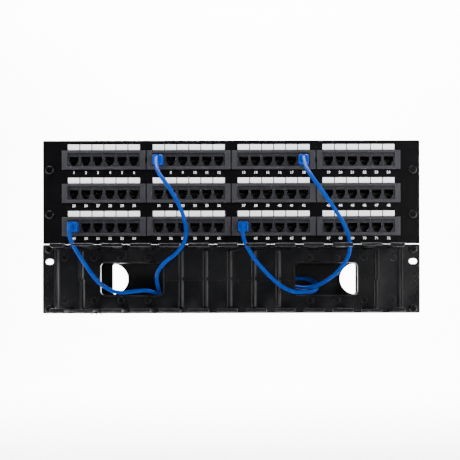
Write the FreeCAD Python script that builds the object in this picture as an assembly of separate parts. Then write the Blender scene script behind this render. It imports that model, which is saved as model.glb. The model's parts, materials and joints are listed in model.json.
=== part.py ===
"""A 72-port, 3U rack patch panel over a 2U finger-duct cable manager, joined by two patch cords.

Millimetres. X runs to the right seen from the front, -Y faces the viewer and Z is up.
Y = 0 is the plane of the rack rails' front faces, and the origin is the centre of the
panel's four ear slots. Every piece is written to parts/ as a STEP file of its own.
"""
import FreeCAD
import Part

import math
import os

V = FreeCAD.Vector

# ---- rack standard ----
RACK_UNIT = 44.45
RACK_WIDTH = 482.6
HOLE_SPACING_X = 465.1
RACK_OPENING = 450.0  # clear width between the rails
EAR_SLOT_WIDTH = 10.0
EAR_SLOT_HEIGHT = 7.0

# ---- general clearances ----
SNAP_GAP = 0.3  # a collar in the plate's cutout
SLIP_GAP = 0.1  # a plug, an insert or a board against what holds it
MOVING_GAP = 0.3  # a moving lever against fixed pieces
SINK = 1.0  # how far a raised feature runs into the wall it stands on
CUT_OVERRUN = 1.0  # how far a cut starts or ends outside what it cuts
NEAR = 0.01  # two edges this close are the same place

# ---- panel plate ----
PANEL_UNITS = 3
PANEL_SHORTFALL = 0.85  # a panel is this much less than its whole number of units
PANEL_PLATE = 1.6
PANEL_CORNER = 1.5
FLANGE_DEPTH = 14.0
FLANGE_SIDE_GAP = 8.0
PANEL_HOLE_SPACING_Z = 57.15

# ---- port modules ----
ROWS = 3
MODULES = 4
JACKS = 6
ROW_PITCH = 42.6
ROW_OFFSET_Z = -1.3  # the middle row lies this much off the panel's centre
MODULE_PITCH = 108.7
BEZEL_GAP = 1.5
BEZEL_HEIGHT = 24.2
BEZEL_PROUD = 3.0
BEZEL_EDGE = 0.7
JACK_PITCH = 15.4
JACK_ZONE_HEIGHT = 17.0
JACK_ZONE_RAISE = 0.5  # the jacks sit a little above the bezel's centre
COLLAR_WALL = 1.8
COLLAR_DEPTH = 4.0
HOOK_LENGTH = 5.0
HOOK_CATCH = 1.0
HOOK_DEPTH = 2.2
HOOK_LAND = 0.8
PRY_NOTCH_HEIGHT = 13.0
PRY_NOTCH_DEPTH = 1.3

# ---- jacks ----
JACK_GAP = 0.2  # between neighbouring housings
JACK_RECESS = 1.4  # housing face behind the bezel's face
JACK_DEPTH = 17.0
SOCKET_WIDTH = 11.8
SOCKET_HEIGHT = 6.8
SOCKET_TOP = 3.75  # above the zone's centre
SHOULDER_WIDTH = 8.8
SHOULDER_DROP = 1.6
FUNNEL_WIDTH = 4.6
FUNNEL_DROP = 3.3
JACK_EDGE = 0.35
INSERT_LENGTH = 5.2
INSERT_RAMP = 3.0

# ---- boards and punch-down blocks ----
BOARD_THICKNESS = 1.6
BOARD_HEIGHT = 32.0
BOARD_MARGIN = 4.0
BLOCK_BASE = 6.0
BLOCK_HEIGHT = 21.0
COMB_DEPTH = 11.0
COMB_HEIGHT = 7.6
COMB_ROOT = 1.5  # below the slots' ends
COMB_SLOTS = 24
SLOT_SHARE = 0.36  # of the comb's pitch

# ---- label strips ----
LABEL_HEIGHT = 6.9
LABEL_THICKNESS = 0.4
LABEL_ABOVE = 0.95  # between a bezel and the strip above it
LABEL_MARGIN = 0.2

# ---- screws ----
SCREW_RADIUS = 2.95
SCREW_NECK_RADIUS = 3.2  # inside the ear's slot
SCREW_HEAD_RADIUS = 5.8
SCREW_HEAD_HEIGHT = 3.2
SCREW_DOME = 1.9
SCREW_REACH = 14.0  # beyond the ear's rear face
RECESS_LENGTH = 5.6
RECESS_WIDTH = 1.2
RECESS_DEPTH = 2.0

# ---- cable manager base ----
MANAGER_UNITS = 2
MANAGER_SHORTFALL = 0.8
MANAGER_EAR = 4.0
MANAGER_WALL = 3.0
MANAGER_CORNER = 2.0
TROUGH_SIDE_GAP = 5.5  # between the trough's end and the rail
WALL_SHIFT_X = -2.8  # the wall's pattern lies this much off the ears' centre
MANAGER_HOLE_Z = 38.1
SPARE_SLOT_Z = 22.225
BLIND_HOLES_Z = (6.35, -6.35, -22.225)
BLIND_RADIUS = 4.6
BLIND_DEPTH = 1.2
BLIND_DISC_RADIUS = 3.4
LIP_HEIGHT = 8.0
LIP_WIDTH = 2.5
PAD_INNER = 190.5
PAD_RAISE = 4.0
PAD_HEIGHT = 76.0
RIDGE_WIDTH = 2.6
RIDGE_RAISE = 5.2
RIDGE_STEP = 1.56  # the lower half lies this much nearer the middle
RIDGE_LAP = 2.0
WINDOW_CENTRE_X = 124.5
WINDOW_WIDTH = 79.5
WINDOW_HEIGHT = 40.5
WINDOW_CORNER = 5.0
WINDOW_RIM = 1.6
WINDOW_RIM_RAISE = 2.4
SOFT_EDGE = 0.7  # the rounding of ribs, rims and heads
RIB_PITCH = 31.0
RIB_COUNT = 5
RIB_WIDTH = 3.4
RIB_RAISE = 2.0
RIB_END_GAP = 0.7  # between a rib and the finger root beyond it
MID_RIB_END_GAP = 2.0  # between the level rib and the windows' rims
MID_RIB_HEIGHT = 4.0
MID_RIB_RAISE = 1.2
BOSS_Z = 27.3
BOSS_RADIUS = 4.4
BOSS_PITCH = 34.6
BOSS_BORE = 2.3
BOSS_RAISE = 1.6
BOSS_BORE_DEPTH = 2.2
BOSS_FIRST = 3  # the fingers that have a boss run from this one outwards
PAD_BOSS_X = 209.5
POCKET_WIDTH = 24.0
POCKET_HEIGHT = 11.0
POCKET_DEPTH = 1.0
POCKET_SHIFT_X = 1.0  # towards the middle, from halfway between two fingers
POCKET_SHIFT_Z = 4.0  # outwards, from the bosses
LOCATOR_X = 171.0
LOCATOR_RADIUS = 1.3
LOCATOR_DEPTH = 1.5

# ---- fingers ----
FINGER_PITCH = 35.0
FINGER_REACH = 92.0
FINGER_ROOT_WIDTH = 15.0
FINGER_TIP_WIDTH = 11.0
FINGER_THICKNESS = 3.0
FINGER_TOP_Z = 41.7
HEAD_WIDTH = 25.0
HEAD_HEIGHT = 4.2
HEAD_DEPTH = 5.0
OUTER_HEAD_HEIGHT = 3.0
ROOT_BLOCK_DEPTH = 6.0
ROOT_BLOCK_HEIGHT = 5.0
END_FINGER_X = 206.5
END_HEAD_OUTER = 19.5
END_HEAD_INNER = 13.3
END_HEAD_HEIGHT = 5.0
END_ARM_WIDTH = 9.0
LUG_WIDTH = 4.6
LUG_HEIGHT = 1.8
LUG_DEPTH = 3.0
PEG_X = (-179.0, -173.0, -167.0)
PEG_RADIUS = 0.9
PEG_DROP = 1.5

# ---- rear duct ----
REAR_SIDE_GAP = 6.0  # between the duct's end and the rail
REAR_DEPTH = 65.0
REAR_WALL = 3.0
REAR_HEIGHT = 82.0
REAR_HOLE_RADIUS = 20.35
REAR_HOLE_X = 161.3  # the flat side of a half-round hole
REAR_HOLE_RAISE = 1.0
REAR_HOLE_CORNER = 3.0
REAR_SLOTS = 5
REAR_SLOT_PITCH = 82.0
REAR_SLOT_LENGTH = 46.0
REAR_SLOT_WIDTH = 30.0
REAR_SLOT_CORNER = 9.0

# ---- patch cords ----
CORD_DIAMETER = 5.0
PLUG_WIDTH = 11.6
PLUG_HEIGHT = 6.5
PLUG_NOSE_GAP = 0.4  # between the plug's nose and the insert
PLUG_LENGTH = 21.0
PLUG_LOW_CHAMFER = 0.8
PLUG_CHAMFER = 1.2
PLUG_CONTACT_FACE = 1.6
LEVER_THICKNESS = 1.0
LEVER_SIDE = 5.8
LEVER_TAIL = 3.4
LEVER_LENGTH = 17.5
LEVER_SLOPE = 8.5  # degrees, at rest
LEVER_SETBACK = 2.0  # the bend behind the plug's nose
LEVER_FACE_GAP = 0.9  # from the wide part's end to the housing's face
LEVER_ROOM = 1.2  # each side of the tail, inside the boot
BOOT_START_GAP = 0.4  # in front of the housing's face
BOOT_WIDTH = 13.0
BOOT_LENGTH = 13.5
BOOT_ABOVE = 1.3
BOOT_BELOW = 5.2
BOOT_WALL = 0.7
BOOT_FRONT_WALL = 1.5
BOOT_EDGE = 2.2
BOOT_FRONT_EDGE = 1.76
NOZZLE_LENGTH = 9.0
NOZZLE_ROOT_RADIUS = 4.8
NOZZLE_TIP_RADIUS = 3.5
NOZZLE_SINK = 3.0
CORD_LEAD = 13.0  # a cord's first straight run, out of the nozzle
BEND_SHARE = 0.45  # of the shorter run beside a corner, taken by the corner's arc

# Each cord's route, from one boot to the other. The nozzles' ends and the straight leads out of
# them are worked out from the ports, so the lists hold only what lies between.
CORD_A_ENDS = (7, 49)
CORD_A_ROUTE = (
    (-91.5, -51, 31),
    (-87, -60, 19),
    (-77, -65, 6),
    (-63, -63, -16),
    (-53.5, -57, -41),
    (-53.5, -50, -64),
    (-66, -42, -80),
    (-85, -29, -92),
    (-95.5, -13, -106),
    (-94.5, 4, -122),
    (-92.5, 22, -138),
    (-90, 42, -146.2),
    (-76, 57, -146.2),
    (-55, 57, -146.2),
    (-40, 42, -146.2),
    (-40, 21, -146.2),
    (-54, 7, -146.2),
    (-75, 5.5, -144),
    (-92, 7, -134),
    (-104, 1, -125.5),
    (-120, -14, -126.5),
    (-143, -28, -130),
    (-164, -38, -118),
    (-178, -46, -97),
    (-190, -51, -77),
    (-199, -54.5, -59),
)
CORD_B_ENDS = (18, 61)
CORD_B_ROUTE = (
    (94.5, -51, 31),
    (99.5, -60, 19),
    (109, -66, 5),
    (126, -66, -19),
    (142, -61, -43),
    (151, -54, -66),
    (149, -46, -85),
    (136, -35, -103),
    (120, -20, -115.5),
    (104, -4, -122),
    (88, 11, -123),
    (75, 26, -119),
    (70, 44, -113),
    (81, 57, -109.5),
    (98, 57, -109.5),
    (109, 44, -115),
    (111, 26, -124),
    (104, 10, -128.3),
    (94, -5, -128.2),
    (80, -15, -128.6),
    (65, -22, -122),
    (49, -31, -108),
    (34, -40, -91),
    (24.5, -48, -77),
    (17, -54.5, -59),
)


def box(x0, x1, y0, y1, z0, z1):
    return Part.makeBox(x1 - x0, y1 - y0, z1 - z0, V(x0, y0, z0))


def cylinder_y(x, z, radius, y0, y1):
    return Part.makeCylinder(radius, y1 - y0, V(x, y0, z), V(0, 1, 0))


def prism_y(outline, y0, y1):
    """The closed X-Z outline, pushed from y0 to y1."""
    points = [V(x, y0, z) for x, z in outline]
    face = Part.Face(Part.makePolygon(points + points[:1]))
    return face.extrude(V(0, y1 - y0, 0))


def prism_z(outline, z0, z1):
    """The closed X-Y outline, pushed from z0 to z1."""
    points = [V(x, y, z0) for x, y in outline]
    face = Part.Face(Part.makePolygon(points + points[:1]))
    return face.extrude(V(0, 0, z1 - z0))


def prism_x(outline, x0, x1):
    """The closed Y-Z outline, pushed from x0 to x1."""
    points = [V(x0, y, z) for y, z in outline]
    face = Part.Face(Part.makePolygon(points + points[:1]))
    return face.extrude(V(x1 - x0, 0, 0))


def edges_along(shape, axis):
    """The straight edges of a shape that run along an axis."""
    found = []
    for edge in shape.Edges:
        if isinstance(edge.Curve, Part.Line):
            run = edge.Vertexes[-1].Point - edge.Vertexes[0].Point
            if abs(run.normalize().dot(axis)) > 1 - NEAR:
                found.append(edge)
    return found


def rounded_box_y(x0, x1, y0, y1, z0, z1, radius):
    """A box whose four edges along Y are rounded."""
    block = box(x0, x1, y0, y1, z0, z1)
    return block.makeFillet(radius, edges_along(block, V(0, 1, 0)))


def soften_front(shape, radius):
    """Rounds the edges of a shape's front face."""
    front = shape.BoundBox.YMin
    return shape.makeFillet(radius, [e for e in shape.Edges if e.BoundBox.YMax < front + NEAR])


def slot_cut(x, z, length, height, y0, y1):
    """A round-ended slot that runs along X, to be cut out between y0 and y1."""
    radius = height / 2
    reach = length / 2 - radius
    body = box(x - reach, x + reach, y0, y1, z - radius, z + radius)
    ends = [cylinder_y(x + side * reach, z, radius, y0, y1) for side in (-1, 1)]
    return body.fuse(ends)


def mirrored(values):
    return [side * value for value in values for side in (-1, 1)]


def save(name, pieces):
    """Writes one node. A node of several identical pieces holds them as separate solids."""
    solids = [solid for piece in pieces for solid in piece.Solids]
    for solid in solids:
        if not solid.isValid():
            raise ValueError(name + " has a solid that isn't valid")
    shape = solids[0] if len(solids) == 1 else Part.Compound(solids)
    shape.exportStep("parts/" + name + ".step")
    print(name, len(solids), "solids", round(shape.Volume / 1000, 2), "cm3")


# ---- places that several pieces share ----
PANEL_HALF_HEIGHT = (PANEL_UNITS * RACK_UNIT - PANEL_SHORTFALL) / 2
BEZEL_FRONT = -PANEL_PLATE - BEZEL_PROUD
JACK_FRONT = BEZEL_FRONT + JACK_RECESS
JACK_BACK = JACK_FRONT + JACK_DEPTH
ZONE_HALF_WIDTH = JACKS * JACK_PITCH / 2 + SLIP_GAP
BOARD_FRONT = JACK_BACK
BOARD_BACK = BOARD_FRONT + BOARD_THICKNESS
INSERT_FRONT = JACK_BACK - INSERT_LENGTH
TROUGH_HALF = RACK_OPENING / 2 - TROUGH_SIDE_GAP
REAR_HALF = RACK_OPENING / 2 - REAR_SIDE_GAP
FINGERS_EACH_SIDE = int((PAD_INNER - RIDGE_WIDTH - FINGER_ROOT_WIDTH / 2) / FINGER_PITCH)
RIB_HEIGHT = 2 * (FINGER_TOP_Z - ROOT_BLOCK_HEIGHT - RIB_END_GAP)
MID_RIB_HALF = WINDOW_CENTRE_X - WINDOW_WIDTH / 2 - WINDOW_RIM - MID_RIB_END_GAP
MANAGER_Z = -(PANEL_UNITS + MANAGER_UNITS) * RACK_UNIT / 2
MANAGER_HALF_HEIGHT = (MANAGER_UNITS * RACK_UNIT - MANAGER_SHORTFALL) / 2
PLUG_NOSE = INSERT_FRONT - PLUG_NOSE_GAP
PLUG_BACK = PLUG_NOSE - PLUG_LENGTH
SOCKET_FLOOR = SOCKET_TOP - SOCKET_HEIGHT
PLUG_DROP = (SOCKET_HEIGHT - PLUG_HEIGHT) / 2
BOOT_BACK = JACK_FRONT - BOOT_START_GAP
BOOT_FRONT = BOOT_BACK - BOOT_LENGTH
NOZZLE_END = BOOT_FRONT - NOZZLE_LENGTH


def row_z(row):
    """The height of a row's bezels, row 0 at the top."""
    return ROW_OFFSET_Z + ((ROWS - 1) / 2 - row) * ROW_PITCH


def zone_z(row):
    return row_z(row) + JACK_ZONE_RAISE


def module_x(column):
    return (column - (MODULES - 1) / 2) * MODULE_PITCH


def jack_x(column, jack):
    return module_x(column) + (jack - (JACKS - 1) / 2) * JACK_PITCH


def port_place(port):
    """The X and the zone height of a port, numbered from 1 along each row."""
    row, along = divmod(port - 1, MODULES * JACKS)
    column, jack = divmod(along, JACKS)
    return jack_x(column, jack), zone_z(row)


# ---- patch panel ----
def collar_half_sizes():
    half_width = ZONE_HALF_WIDTH + COLLAR_WALL
    half_height = JACK_ZONE_HEIGHT / 2 + COLLAR_WALL
    return half_width, half_height


def panel_plate():
    half_x = RACK_WIDTH / 2
    plate = rounded_box_y(-half_x, half_x, -PANEL_PLATE, 0,
                          -PANEL_HALF_HEIGHT, PANEL_HALF_HEIGHT, PANEL_CORNER)
    flange_half = RACK_OPENING / 2 - FLANGE_SIDE_GAP
    for side in (-1, 1):
        edge = side * PANEL_HALF_HEIGHT
        inner = edge - side * PANEL_PLATE
        flange = box(-flange_half, flange_half, -PANEL_PLATE / 2, FLANGE_DEPTH,
                     min(edge, inner), max(edge, inner))
        plate = plate.fuse(flange)
    half_width, half_height = collar_half_sizes()
    cuts = []
    for row in range(ROWS):
        for column in range(MODULES):
            x, z = module_x(column), zone_z(row)
            cuts.append(box(x - half_width - SNAP_GAP, x + half_width + SNAP_GAP,
                            -PANEL_PLATE - CUT_OVERRUN, CUT_OVERRUN,
                            z - half_height - SNAP_GAP, z + half_height + SNAP_GAP))
    for x in mirrored([HOLE_SPACING_X / 2]):
        for z in mirrored([PANEL_HOLE_SPACING_Z / 2]):
            cuts.append(slot_cut(x, z, EAR_SLOT_WIDTH, EAR_SLOT_HEIGHT,
                                 -PANEL_PLATE - CUT_OVERRUN, CUT_OVERRUN))
    return plate.cut(cuts).removeSplitter()


def pry_notch(x, z):
    """A lens-shaped cut centred on a bezel's side edge."""
    half, depth = PRY_NOTCH_HEIGHT / 2, PRY_NOTCH_DEPTH
    radius = (half * half + depth * depth) / (2 * depth)
    left = cylinder_y(x + radius - depth, z, radius, BEZEL_FRONT - CUT_OVERRUN, CUT_OVERRUN)
    right = cylinder_y(x - radius + depth, z, radius, BEZEL_FRONT - CUT_OVERRUN, CUT_OVERRUN)
    return left.common(right)


def bezel(row, column):
    x, z = module_x(column), row_z(row)
    half_x, half_z = (MODULE_PITCH - BEZEL_GAP) / 2, BEZEL_HEIGHT / 2
    face = box(x - half_x, x + half_x, BEZEL_FRONT, -PANEL_PLATE, z - half_z, z + half_z)
    face = soften_front(face, BEZEL_EDGE)
    collar_x, collar_z = collar_half_sizes()
    middle = zone_z(row)
    collar = box(x - collar_x, x + collar_x, -PANEL_PLATE - SINK, COLLAR_DEPTH,
                 middle - collar_z, middle + collar_z)
    body = face.fuse(collar)
    for side in (-1, 1):
        root = x + side * (collar_x - COLLAR_WALL / 2)
        tip = x + side * (collar_x + HOOK_CATCH)
        outline = [(root, SLIP_GAP), (tip, SLIP_GAP), (tip, SLIP_GAP + HOOK_LAND),
                   (root, SLIP_GAP + HOOK_DEPTH)]
        body = body.fuse(prism_z(outline, middle - HOOK_LENGTH / 2, middle + HOOK_LENGTH / 2))
    opening = box(x - ZONE_HALF_WIDTH, x + ZONE_HALF_WIDTH,
                  BEZEL_FRONT - CUT_OVERRUN, COLLAR_DEPTH + CUT_OVERRUN,
                  middle - JACK_ZONE_HEIGHT / 2, middle + JACK_ZONE_HEIGHT / 2)
    body = body.cut(opening)
    inner_side = 1 if column % 2 == 0 else -1
    if row == 0:
        body = body.cut(pry_notch(x + inner_side * (half_x + BEZEL_GAP / 2), z))
    return body.removeSplitter()


def socket_outline(x, z):
    """The section of a jack's mouth: the plug's room, the shoulder and the latch's funnel."""
    top = z + SOCKET_TOP
    floor = z + SOCKET_FLOOR
    shoulder = floor - SHOULDER_DROP
    end = shoulder - FUNNEL_DROP
    half = [(SOCKET_WIDTH / 2, top), (SOCKET_WIDTH / 2, floor), (SHOULDER_WIDTH / 2, floor),
            (SHOULDER_WIDTH / 2, shoulder), (FUNNEL_WIDTH / 2, end)]
    right = [(x + dx, level) for dx, level in half]
    left = [(x - dx, level) for dx, level in reversed(half)]
    return right + left


def jack_housing(x, z):
    half_width = (JACK_PITCH - JACK_GAP) / 2
    half_height = JACK_ZONE_HEIGHT / 2 - SLIP_GAP
    block = box(x - half_width, x + half_width, JACK_FRONT, JACK_BACK, z - half_height, z + half_height)
    block = soften_front(block, JACK_EDGE)
    return block.cut(prism_y(socket_outline(x, z), JACK_FRONT - CUT_OVERRUN, JACK_BACK + CUT_OVERRUN))


def jack_insert(x, z):
    """The carrier of the eight contacts, at the back of a socket, with a ramp under its top."""
    half = SOCKET_WIDTH / 2 - SLIP_GAP
    top = z + SOCKET_TOP - SLIP_GAP
    floor = z + SOCKET_FLOOR + SLIP_GAP
    outline = [(INSERT_FRONT, floor), (INSERT_FRONT, top - INSERT_RAMP), (INSERT_FRONT + INSERT_RAMP, top),
               (JACK_BACK - SLIP_GAP, top), (JACK_BACK - SLIP_GAP, floor)]
    return prism_x(outline, x - half, x + half)


def circuit_board(row, column):
    x, z = module_x(column), zone_z(row)
    half_width = ZONE_HALF_WIDTH + BOARD_MARGIN
    return box(x - half_width, x + half_width, BOARD_FRONT, BOARD_BACK,
               z - BOARD_HEIGHT / 2, z + BOARD_HEIGHT / 2)


def comb_outline(x, half_width):
    """The toothed outline of one punch-down comb, seen along Z."""
    front = BOARD_BACK + BLOCK_BASE - SINK
    back = BOARD_BACK + BLOCK_BASE + COMB_DEPTH
    root = BOARD_BACK + BLOCK_BASE + COMB_ROOT
    pitch = 2 * half_width / (COMB_SLOTS + 1)
    slot = pitch * SLOT_SHARE
    points = [(x - half_width, front), (x - half_width, back)]
    for index in range(COMB_SLOTS):
        middle = x - half_width + (index + 1) * pitch
        points += [(middle - slot / 2, back), (middle - slot / 2, root),
                   (middle + slot / 2, root), (middle + slot / 2, back)]
    return points + [(x + half_width, back), (x + half_width, front)]


def punch_down_block(row, column):
    x, z = module_x(column), zone_z(row)
    half_width = ZONE_HALF_WIDTH
    body = box(x - half_width, x + half_width, BOARD_BACK, BOARD_BACK + BLOCK_BASE,
               z - BLOCK_HEIGHT / 2, z + BLOCK_HEIGHT / 2)
    for side in (-1, 1):
        outer = z + side * BLOCK_HEIGHT / 2
        inner = outer - side * COMB_HEIGHT
        body = body.fuse(prism_z(comb_outline(x, half_width), min(outer, inner), max(outer, inner)))
    return body.removeSplitter()


def label_strip(row, column):
    x = module_x(column)
    bottom = row_z(row) + BEZEL_HEIGHT / 2 + LABEL_ABOVE
    half = JACKS * JACK_PITCH / 2 - LABEL_MARGIN
    return box(x - half, x + half, -PANEL_PLATE - LABEL_THICKNESS, -PANEL_PLATE,
               bottom, bottom + LABEL_HEIGHT)


def rack_screw(x, z, seat):
    """A domed cross-recess screw whose head bears on the ear at y = seat."""
    head = cylinder_y(x, z, SCREW_HEAD_RADIUS, seat - SCREW_HEAD_HEIGHT, seat)
    head = soften_front(head, SCREW_DOME)
    neck = cylinder_y(x, z, SCREW_NECK_RADIUS, seat, 0)
    shank = cylinder_y(x, z, SCREW_RADIUS, 0, SCREW_REACH)
    front = seat - SCREW_HEAD_HEIGHT - CUT_OVERRUN
    depth = seat - SCREW_HEAD_HEIGHT + RECESS_DEPTH
    across, thin = RECESS_LENGTH / 2, RECESS_WIDTH / 2
    bars = [box(x - across, x + across, front, depth, z - thin, z + thin),
            box(x - thin, x + thin, front, depth, z - across, z + across)]
    return head.fuse([neck, shank]).cut(bars).removeSplitter()


def build_panel():
    save("panel_plate", [panel_plate()])
    for row in range(ROWS):
        for column in range(MODULES):
            place = "_r%d_c%d" % (row + 1, column + 1)
            z = zone_z(row)
            save("bezel" + place, [bezel(row, column)])
            save("jacks" + place, [jack_housing(jack_x(column, jack), z) for jack in range(JACKS)])
        ending = "_row_%d" % (row + 1)
        columns = range(MODULES)
        inserts = [jack_insert(jack_x(column, jack), zone_z(row)) for column in columns
                   for jack in range(JACKS)]
        save("jack_inserts" + ending, inserts)
        save("circuit_boards" + ending, [circuit_board(row, column) for column in columns])
        save("punch_down_blocks" + ending, [punch_down_block(row, column) for column in columns])
        save("label_strips" + ending, [label_strip(row, column) for column in columns])
    screws = [rack_screw(x, z, -PANEL_PLATE) for x in mirrored([HOLE_SPACING_X / 2])
              for z in mirrored([PANEL_HOLE_SPACING_Z / 2])]
    save("panel_screws", screws)


# ---- cable manager ----
def manager_blank():
    """The back wall, the thicker ears, the low lips beside them and the raised end pads."""
    half_x, half_z = RACK_WIDTH / 2, MANAGER_HALF_HEIGHT
    low, high = MANAGER_Z - half_z, MANAGER_Z + half_z
    blank = box(WALL_SHIFT_X - TROUGH_HALF, WALL_SHIFT_X + TROUGH_HALF, -MANAGER_WALL, 0, low, high)
    for side in (-1, 1):
        outer, inner = side * half_x, WALL_SHIFT_X + side * TROUGH_HALF
        ear = box(min(outer, inner), max(outer, inner), -MANAGER_EAR, 0, low, high)
        corners = [e for e in edges_along(ear, V(0, 1, 0)) if abs(e.CenterOfMass.x - outer) < NEAR]
        ear = ear.makeFillet(MANAGER_CORNER, corners)
        lip_outer = inner + side * LIP_WIDTH
        lip = box(min(lip_outer, inner), max(lip_outer, inner), -MANAGER_WALL - LIP_HEIGHT, -SINK,
                  MANAGER_Z - PAD_HEIGHT / 2, MANAGER_Z + PAD_HEIGHT / 2)
        lip = soften_front(lip, SOFT_EDGE)
        pad_edge = WALL_SHIFT_X + side * PAD_INNER
        pad = box(min(pad_edge, inner), max(pad_edge, inner), -MANAGER_WALL - PAD_RAISE, -SINK,
                  MANAGER_Z - PAD_HEIGHT / 2, MANAGER_Z + PAD_HEIGHT / 2)
        blank = blank.fuse([ear, lip, pad, end_ridge(side)])
    return blank


def end_ridge(side):
    """The ridge at a pad's inner edge, which steps towards the middle at mid height."""
    half, front = PAD_HEIGHT / 2, -MANAGER_WALL - RIDGE_RAISE
    x = WALL_SHIFT_X + side * PAD_INNER
    upper = box(x - RIDGE_WIDTH / 2, x + RIDGE_WIDTH / 2, front, -SINK,
                MANAGER_Z - RIDGE_LAP, MANAGER_Z + half)
    x -= side * RIDGE_STEP
    lower = box(x - RIDGE_WIDTH / 2, x + RIDGE_WIDTH / 2, front, -SINK,
                MANAGER_Z - half, MANAGER_Z + RIDGE_LAP)
    return soften_front(upper, SOFT_EDGE).fuse(soften_front(lower, SOFT_EDGE))


def window_block(side, grow, y0, y1):
    x = WALL_SHIFT_X + side * WINDOW_CENTRE_X
    half_x, half_z = WINDOW_WIDTH / 2 + grow, WINDOW_HEIGHT / 2 + grow
    return rounded_box_y(x - half_x, x + half_x, y0, y1, MANAGER_Z - half_z, MANAGER_Z + half_z,
                         WINDOW_CORNER + grow)


def boss_places():
    """The ring bosses: X, Z and the Y of the face each one stands on."""
    wall = -MANAGER_WALL
    numbers = range(BOSS_FIRST, FINGERS_EACH_SIDE + 1)
    columns = [(x, wall) for x in mirrored([number * BOSS_PITCH for number in numbers])]
    columns += [(x, wall - PAD_RAISE) for x in mirrored([PAD_BOSS_X])]
    return [(WALL_SHIFT_X + x, MANAGER_Z + z, face) for x, face in columns for z in mirrored([BOSS_Z])]


def wall_ribs():
    """The upright ribs between the windows and the level one that crosses them."""
    front = -MANAGER_WALL
    level = box(WALL_SHIFT_X - MID_RIB_HALF, WALL_SHIFT_X + MID_RIB_HALF, front - MID_RIB_RAISE, -SINK,
                MANAGER_Z - MID_RIB_HEIGHT / 2, MANAGER_Z + MID_RIB_HEIGHT / 2)
    ribs = [level]
    for index in range(RIB_COUNT):
        x = WALL_SHIFT_X + (index - (RIB_COUNT - 1) / 2) * RIB_PITCH
        rib = box(x - RIB_WIDTH / 2, x + RIB_WIDTH / 2, front - RIB_RAISE, -SINK,
                  MANAGER_Z - RIB_HEIGHT / 2, MANAGER_Z + RIB_HEIGHT / 2)
        ribs.append(soften_front(rib, SOFT_EDGE))
    return ribs


def wall_lugs():
    """The lugs between the top fingers, and the pegs under the wall's lower edge."""
    front = -MANAGER_WALL
    top = MANAGER_Z + FINGER_TOP_Z
    pieces = []
    for number in range(-FINGERS_EACH_SIDE, FINGERS_EACH_SIDE):
        x = (number + 0.5) * FINGER_PITCH
        pieces.append(box(x - LUG_WIDTH / 2, x + LUG_WIDTH / 2, front - LUG_DEPTH, -SINK,
                          top - LUG_HEIGHT, top))
    low = MANAGER_Z - MANAGER_HALF_HEIGHT
    for x in PEG_X:
        foot = V(x, front / 2, low - PEG_DROP)
        pieces.append(Part.makeCylinder(PEG_RADIUS, PEG_DROP + SINK, foot, V(0, 0, 1)))
    return pieces


def wall_cuts():
    """The windows, the bosses' bores, the shallow pockets and the locating hole."""
    front = -MANAGER_WALL
    cuts = [window_block(side, 0, front - LIP_HEIGHT, CUT_OVERRUN) for side in (-1, 1)]
    for x, z, face in boss_places():
        top = face - BOSS_RAISE
        cuts.append(cylinder_y(x, z, BOSS_BORE, top - CUT_OVERRUN, top + BOSS_BORE_DEPTH))
    for number in range(BOSS_FIRST, FINGERS_EACH_SIDE):
        for offset in mirrored([(number + 0.5) * BOSS_PITCH - POCKET_SHIFT_X]):
            x = WALL_SHIFT_X + offset
            for z in mirrored([BOSS_Z + POCKET_SHIFT_Z]):
                cuts.append(box(x - POCKET_WIDTH / 2, x + POCKET_WIDTH / 2,
                                front - CUT_OVERRUN, front + POCKET_DEPTH,
                                MANAGER_Z + z - POCKET_HEIGHT / 2, MANAGER_Z + z + POCKET_HEIGHT / 2))
    cuts.append(cylinder_y(LOCATOR_X, MANAGER_Z, LOCATOR_RADIUS, front - CUT_OVERRUN, front + LOCATOR_DEPTH))
    return cuts


def ear_cuts():
    """The ears' screw slots, the spare slot and the grooves of the blind discs."""
    cuts = []
    front = -MANAGER_EAR
    for x in mirrored([HOLE_SPACING_X / 2]):
        for z in mirrored([MANAGER_HOLE_Z]) + [SPARE_SLOT_Z]:
            cuts.append(slot_cut(x, MANAGER_Z + z, EAR_SLOT_WIDTH, EAR_SLOT_HEIGHT,
                                 front - CUT_OVERRUN, CUT_OVERRUN))
        for z in BLIND_HOLES_Z:
            ring = cylinder_y(x, MANAGER_Z + z, BLIND_RADIUS, front - CUT_OVERRUN, front + BLIND_DEPTH)
            disc = cylinder_y(x, MANAGER_Z + z, BLIND_DISC_RADIUS, front + BLIND_DEPTH / 2, 0)
            cuts.append(ring.cut(disc))
    return cuts


def manager_base():
    wall = -MANAGER_WALL
    raised = [window_block(side, WINDOW_RIM, wall - WINDOW_RIM_RAISE, -SINK) for side in (-1, 1)]
    raised += [cylinder_y(x, z, BOSS_RADIUS, face - BOSS_RAISE, -SINK) for x, z, face in boss_places()]
    raised = [soften_front(shape, SOFT_EDGE) for shape in raised]
    raised += wall_ribs() + wall_lugs()
    return manager_blank().fuse(raised).cut(wall_cuts() + ear_cuts()).removeSplitter()


def finger(x, side, head_height):
    """A T-headed finger. side is 1 in the top row and -1 in the bottom row."""
    start = -MANAGER_WALL
    tip = start - FINGER_REACH + HEAD_DEPTH
    root, end = FINGER_ROOT_WIDTH / 2, FINGER_TIP_WIDTH / 2
    outer = MANAGER_Z + side * FINGER_TOP_Z
    inner = outer - side * FINGER_THICKNESS
    outline = [(x - root, start), (x + root, start), (x + end, tip), (x - end, tip)]
    arm = prism_z(outline, min(outer, inner), max(outer, inner))
    under = outer - side * head_height
    head = box(x - HEAD_WIDTH / 2, x + HEAD_WIDTH / 2, start - FINGER_REACH, tip,
               min(outer, under), max(outer, under))
    head = soften_front(head, SOFT_EDGE)
    return arm.fuse([head, root_block(x, side, FINGER_ROOT_WIDTH)]).removeSplitter()


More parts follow.
